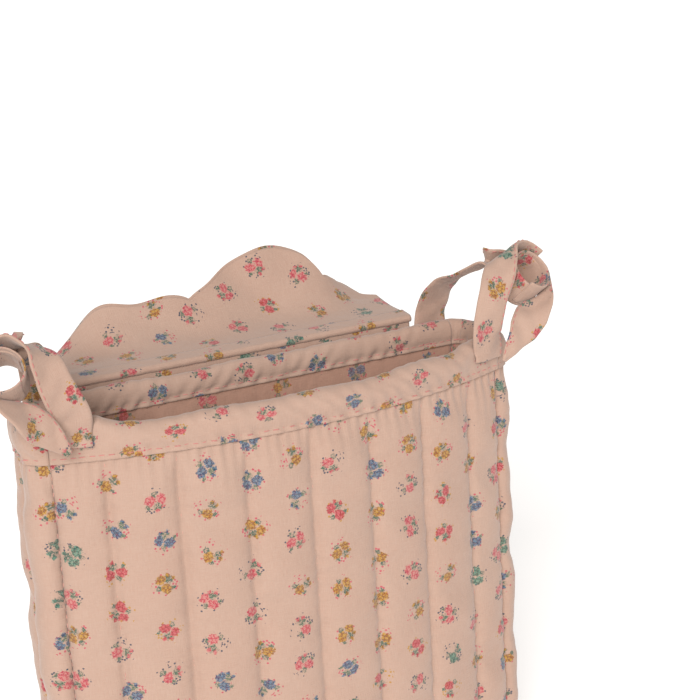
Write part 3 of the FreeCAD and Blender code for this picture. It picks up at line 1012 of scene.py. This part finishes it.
def makeTies(word, side):
    body = "tie_loop_" + word
    lean = unit(np.array(tie["lean"]) * [side, 1, 1])
    centre = sum(boxOf("handle_wrap_" + word)) / 2
    across = np.array([side, 0, 0.0])
    sideways = unit(np.cross(lean, [0, 0, 1.0])) * side    # towards the bag
    upwards = unit(np.array([0, 0, 1.0]) - lean * lean[2])

    def at(x, y, z):
        return np.array([side * x, y, z])

    def aroundHandle(along, degrees, radius):
        # a point round the handle's line, 0 towards the bag and 90 on top
        turn = math.radians(degrees)
        return centre + lean * along + radius * (math.cos(turn) * sideways + math.sin(turn) * upwards)

    def turned(shares):
        return [across * (1 - share) + lean * share for share in shares]

    def strap(name, node, points, sides, cut, seed, shift, thickness, edge, faceRow, faceSide, sewnY):
        # cut picks the half widths and cups, shift moves the print, edge is the column of the stitches;
        # faceRow and faceSide tell which face looks out
        grid, uvs = ribbon(points, sides, tie[cut + "Halves"], tie[cut + "Curl"], seed + side)
        grid = clearOfHandle(grid, centre, lean)
        cloth = sheetOf(name + "_" + word, grid, thickness, uvs + shift, cotton)
        flip = 1 if surfaceNormals(grid)[faceRow, 8][1] * faceSide > 0 else -1
        if edge is None:
            edge = -2 if side * grid[40, -1, 0] > side * grid[40, 0, 0] else 1
        rows = edgeStitches(name + "_stitches_" + word, grid, edge, thickness / 2 + 0.02, flip)
        for piece, slot in ((cloth, "printed_cotton"), (rows, "thread")):
            if sewnY is None:
                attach(piece, body)
            else:
                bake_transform(piece)
        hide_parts(node + "_" + word)

    # front tie: sewn along the band, then up and over the handle
    s0 = lengthAtX(tie["sewnX"])
    fx, fy = onOutline(np.array([s0, s0 + 1.0]), 2.55)
    footAcross = unit(np.array([side * (fx[1] - fx[0]), fy[1] - fy[0], 0]))
    out = tie["outwards"][word]
    points = [at(fx[0], fy[0], 177.0), at(fx[0], fy[0] - 0.3, 180.5), at(83.4 + 0.4 * out, -13.9, 187.0),
              at(84.4 + out, -15.0, 195.5), at(87.4 + out, -14.4, 204.5)]
    points += [aroundHandle(*place) for place in (
        (4.4, 26, 14.2), (4.8, 62, 12.0), (4.4, 98, 11.0), (4.0, 128, 10.95), (3.6, 152, 10.9))]
    sides = [footAcross, footAcross * 0.8 + across * 0.2, footAcross * 0.3 + across * 0.7]
    sides += turned([0.0, 0.1, 0.35, 0.75, 1.0, 1.0, 1.0])
    strap("front_strap", "front_tie", points, sides, "front", 51, [600.0 + 23 * side, 4.0], tie["cloth"],
          None, 20, -1, -0.015)

    # rear tie
    foot = at(tie["footX"], tie["rearY"], tie["footZ"])
    way = centre[1] - tie["rearY"]
    points = [foot + [side * x, y, z] for x, y, z in (
        (0, 0, -5.5), (0, 0, 0), (0.2, -0.2, 8.0), (1.2, way * 0.09, 16.5), (4.0, way * 0.28, 24.5),
        (8.8, way * 0.54, 29.0))]
    points += [aroundHandle(*place) for place in (
        (-3.6, 74, 13.4), (-2.6, 98, 10.7), (-1.4, 122, 9.9), (-0.8, 146, 9.7))]
    strap("rear_strap", "rear_tie", points, turned([0, 0, 0, 0, 0.05, 0.2, 0.55, 0.9, 1.0, 1.0]), "rear", 61,
          [700.0 + 31 * side, 9.0], tie["cloth"], -2, 20, 1, 0.027)

    # turns round the handle's line
    turn = np.linspace(0, 1, 150)
    angle = turn * tie["turns"] * 2 * math.pi + 0.6
    radius = tie["firstRadius"] + 0.6 * turn
    shift = -1.6 + 3.4 * turn + 0.5 * np.sin(angle)
    a = np.linspace(-1, 1, 19)[None, :]
    reach = tie["wrapWidth"] / 2 * a
    radial = np.cos(angle)[:, None] * sideways + np.sin(angle)[:, None] * upwards
    lift = 0.16 * ripple(a * 6, angle[:, None] * 8, 71, 7.0, 14.0) + 0.25 * a ** 2 * turn[:, None]
    grid = centre + lean * (shift[:, None] + reach)[..., None] \
        + radial[:, None] * (radius[:, None] + lift)[..., None]
    uvs = stacked(reach + 800.0 + 17 * side, (angle * 8)[:, None])
    turns = sheetOf("handle_turns_" + word, grid, tie["wrapCloth"], uvs, cotton)
    standsFor(turns, body, "handle_wrap_" + word)
    length = float(np.sum(radius[1:] * np.diff(angle)))

    # tail
    points = [aroundHandle(2.0, 158, 9.75), aroundHandle(2.2, 180, 10.3)]
    points += [at(*place) for place in tie["tailWay"]]
    sides = [lean, lean + across * 0.2, lean * 0.7 + across * 0.7, across + lean * 0.3 + [0, 0, 0.35]]
    sides += [across + [0, 0, rise] for rise in (0.5, 0.45, 0.35, 0.25)]
    strap("strap_tail", "tie_tail", points, sides, "tail", 81, [900.0 + 13 * side, 2.0], tie["tailCloth"],
          1, 50, -1, None)


makeTies("left", -1)
makeTies("right", 1)
print("ties made")


# Floor, light and camera.
studio = {
    "floor": tint(250, 249, 248),
    "floorGrain": tint(246, 245, 244),
    "floorSize": 30.0,        # metres each way
    "glow": 0.28,             # keeps the floor white under the bag's soft shadow
    "world": 0.50,
    "worldTint": (1.0, 0.968, 0.94, 1.0),
    "sun": 3.3,
    "sunTint": (1.0, 0.985, 0.965),
    "sunSpread": 30.0,        # degrees, for soft shadows
    "sunFrom": (-0.66, -1.0, 0.58),
}


def makeStage():
    desk = Desk("studio_floor")
    place = desk.add("ShaderNodeTexCoord", {}, {}, 3)
    grain = desk.noise(place, 40.0, 2.0)
    finish = desk.add("ShaderNodeBsdfPrincipled", {}, {
        "Base Color": desk.mix(desk.clamp(grain, 0.4, 0.0), studio["floor"], studio["floorGrain"]),
        "Roughness": 0.9,
        "Emission Color": tint(255, 255, 255),
        "Emission Strength": studio["glow"]})
    desk.add("ShaderNodeOutputMaterial", {}, {"Surface": finish})
    mesh = bpy.data.meshes.new("floor")
    size = studio["floorSize"]
    low = cadBounds[0][2] - 0.0003
    mesh.from_pydata([(-size, -size, low), (size, -size, low), (size, size, low), (-size, size, low)], [],
                     [(0, 1, 2, 3)])
    mesh.materials.append(desk.material)
    floor = bpy.data.objects.new("floor", mesh)
    bpy.context.scene.collection.objects.link(floor)
    world = bpy.data.worlds.new("studio")
    world.use_nodes = True
    sky = world.node_tree.nodes["Background"].inputs
    sky[0].default_value = studio["worldTint"]
    sky[1].default_value = studio["world"]
    bpy.context.scene.world = world
    bpy.context.scene.view_settings.view_transform = "Standard"
    data = bpy.data.lights.new("window", "SUN")
    data.energy = studio["sun"]
    data.angle = math.radians(studio["sunSpread"])
    data.color = studio["sunTint"]
    lamp = bpy.data.objects.new("window", data)
    lamp.rotation_mode = "QUATERNION"
    lamp.rotation_quaternion = Vector(studio["sunFrom"]).to_track_quat("Z", "Y")
    bpy.context.scene.collection.objects.link(lamp)


view = {"yaw": 27.4, "pitch": 15.85, "roll": -3.36, "reach": 1800 / 700, "place": (-0.270, -0.581, 0.374)}


def makeCamera():
    # looks to the right by yaw and down by pitch, then turns about its own line by roll
    yaw, pitch, roll = (math.radians(view[key]) for key in ("yaw", "pitch", "roll"))
    ahead = Vector((math.sin(yaw) * math.cos(pitch), math.cos(yaw) * math.cos(pitch), -math.sin(pitch)))
    right = Vector((math.cos(yaw), -math.sin(yaw), 0))
    up = right.cross(ahead)
    turnedRight = right * math.cos(roll) + up * math.sin(roll)
    turnedUp = up * math.cos(roll) - right * math.sin(roll)
    data = bpy.data.cameras.new("camera")
    data.sensor_width = 36
    data.lens = 36 * view["reach"]
    data.clip_start, data.clip_end = 0.01, 100
    camera = bpy.data.objects.new("camera", data)
    camera.matrix_world = Matrix.Translation(view["place"]) @ Matrix(
        (turnedRight, turnedUp, -ahead)).transposed().to_4x4()
    bpy.context.scene.collection.objects.link(camera)
    bpy.context.scene.camera = camera


makeStage()
makeCamera()
print("stage and camera made")
